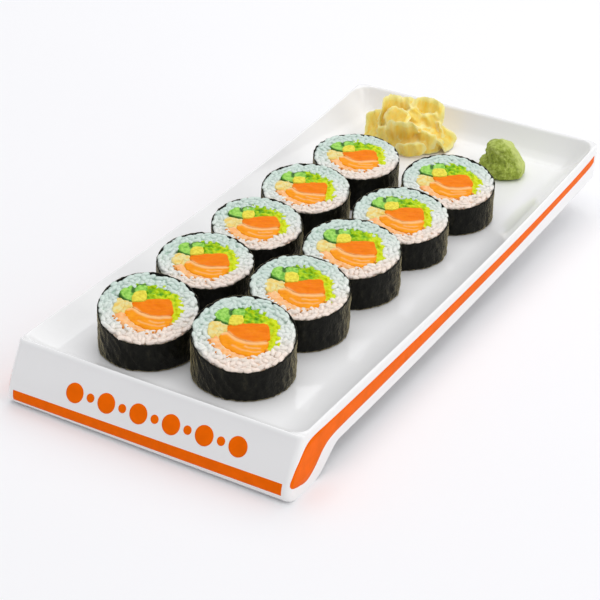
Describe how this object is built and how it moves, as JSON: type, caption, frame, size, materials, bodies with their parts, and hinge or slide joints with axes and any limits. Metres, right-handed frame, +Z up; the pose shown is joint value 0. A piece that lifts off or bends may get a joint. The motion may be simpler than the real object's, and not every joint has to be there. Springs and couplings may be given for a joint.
{
  "type": "maki sushi roll platter",
  "caption": "Thick sliced maki rolls with salmon, egg and green filling, standing in rows on a long raised-rim porcelain plate with pickled ginger and wasabi.",
  "frame": {"origin": "on the table, under the middle of the plate's length and width (bottom centre of the bounding box)", "axes": "+Y runs along the plate from its folded-down front end to its raised rear end, +X runs across it to the right as seen from the front end, +Z is up"},
  "size_m": [0.146, 0.3256, 0.0507],
  "materials": {
    "glazed_porcelain": "smooth clear-glazed white porcelain",
    "orange_decoration": "orange on-glaze decoration, fired smooth",
    "nori_sheet": "dark dried seaweed, finely wrinkled, faint sheen",
    "cooked_rice": "moist translucent white grains",
    "roll_filling": "moist cut salmon, egg, cucumber and avocado",
    "pickled_ginger": "thin wet translucent slices",
    "wasabi_paste": "dense grainy paste"
  },
  "bodies": {
    "root": {"plate": "glazed_porcelain", "roll_left_1": "nori_sheet", "roll_left_2": "nori_sheet", "roll_left_3": "nori_sheet", "roll_left_4": "nori_sheet", "roll_left_5": "nori_sheet", "roll_right_1": "nori_sheet", "roll_right_2": "nori_sheet", "roll_right_3": "nori_sheet", "roll_right_4": "nori_sheet", "roll_right_5": "nori_sheet", "ginger": "pickled_ginger", "wasabi": "wasabi_paste"}
  },
  "joints": []
}
